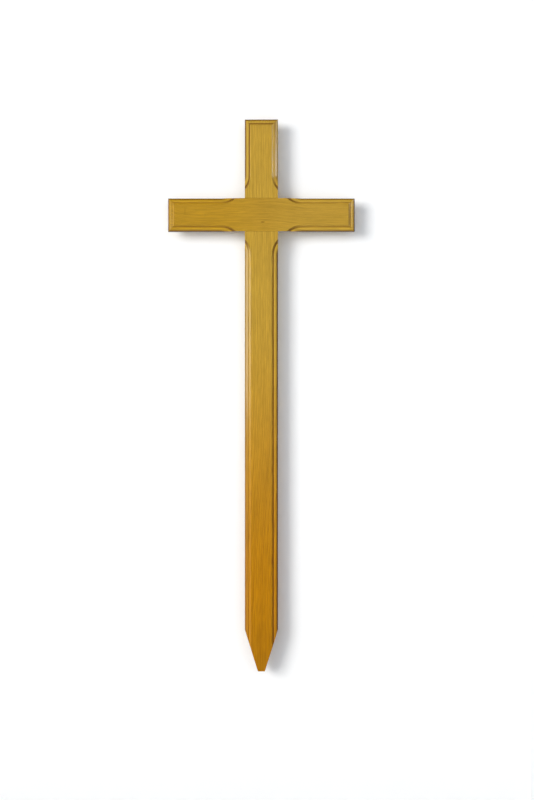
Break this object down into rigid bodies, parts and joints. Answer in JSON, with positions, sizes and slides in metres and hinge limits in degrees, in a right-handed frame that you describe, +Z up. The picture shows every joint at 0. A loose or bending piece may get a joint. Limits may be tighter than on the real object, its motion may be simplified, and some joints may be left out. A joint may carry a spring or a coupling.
{
  "type": "wooden grave cross",
  "caption": "Flat varnished wooden grave cross with a routed edge moulding, ending below in a pointed stake that is set in the ground.",
  "frame": {"origin": "on the post's axis at the ground line, in the middle of the board's thickness, 300 mm above the cut end of the stake", "axes": "+Z up along the post, +X to the right seen from the front, -Y out of the moulded front"},
  "size_m": [0.406, 0.022, 1.2],
  "materials": {
    "varnished_wood": "clear satin varnish over honey-coloured stain"
  },
  "bodies": {
    "root": {"post": "varnished_wood", "crossbar": "varnished_wood"}
  },
  "joints": []
}
